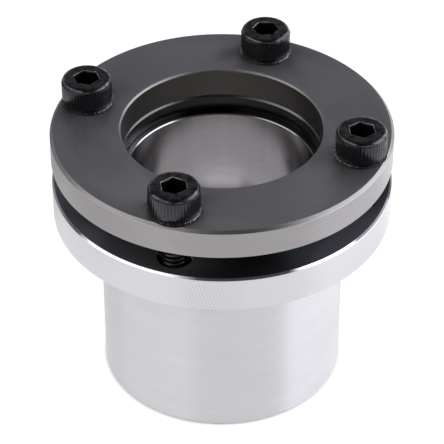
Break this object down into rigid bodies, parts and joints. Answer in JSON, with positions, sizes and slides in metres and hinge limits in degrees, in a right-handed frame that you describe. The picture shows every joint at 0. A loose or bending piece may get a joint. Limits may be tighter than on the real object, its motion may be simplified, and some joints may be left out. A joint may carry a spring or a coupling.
{
  "type": "hydraulic shaft bushing",
  "caption": "Flanged double-walled sleeve filled with a pressure medium; socket screws draw down a loose pressure flange and ring piston so the sleeve grips shaft and hub.",
  "frame": {"origin": "centre of the sleeve's foot face, on the common axis of shaft bore and hub seat", "axes": "+Z along the axis from the foot towards the screw heads; the screws stand at -18.4, 71.6, 161.6 and 251.6 degrees round +Z from +X"},
  "size_m": [0.058, 0.058, 0.0535],
  "materials": {
    "turned_steel": "satin",
    "honed_steel": "satin",
    "pressure_medium": "gloss",
    "seal": "satin",
    "dark_steel": "satin",
    "oiled_dark_steel": "satin",
    "black_screw_steel": "satin"
  },
  "bodies": {
    "sleeve": {"outer_sleeve": "turned_steel", "inner_sleeve": "honed_steel", "pressure_medium": "pressure_medium"},
    "clamp": {"pressure_flange": "oiled_dark_steel", "piston": "dark_steel", "seal_ring": "seal"},
    "screw_1": {"clamp_screw_1": "black_screw_steel"},
    "screw_2": {"clamp_screw_2": "black_screw_steel"},
    "screw_3": {"clamp_screw_3": "black_screw_steel"},
    "screw_4": {"clamp_screw_4": "black_screw_steel"}
  },
  "joints": [
    {"name": "clamp_travel", "type": "slide", "parent": "sleeve", "child": "clamp", "axis": [0, 0, -1], "range_m": [0, 0.0016], "deforming": ["pressure_medium"]},
    {"name": "screw_1_turn", "type": "hinge", "parent": "clamp", "child": "screw_1", "pos_m": [0.02301, -0.00765, 0.0487], "axis": [0, 0, -1], "range_deg": [0, 720]},
    {"name": "screw_2_turn", "type": "hinge", "parent": "clamp", "child": "screw_2", "pos_m": [0.00765, 0.02301, 0.0487], "axis": [0, 0, -1], "range_deg": [0, 720]},
    {"name": "screw_3_turn", "type": "hinge", "parent": "clamp", "child": "screw_3", "pos_m": [-0.02301, 0.00765, 0.0487], "axis": [0, 0, -1], "range_deg": [0, 720]},
    {"name": "screw_4_turn", "type": "hinge", "parent": "clamp", "child": "screw_4", "pos_m": [-0.00765, -0.02301, 0.0487], "axis": [0, 0, -1], "range_deg": [0, 720]}
  ],
  "couplings": [
    {"joint": "screw_1_turn", "follows": "clamp_travel", "rad_per_m": 7854},
    {"joint": "screw_2_turn", "follows": "clamp_travel", "rad_per_m": 7854},
    {"joint": "screw_3_turn", "follows": "clamp_travel", "rad_per_m": 7854},
    {"joint": "screw_4_turn", "follows": "clamp_travel", "rad_per_m": 7854}
  ]
}
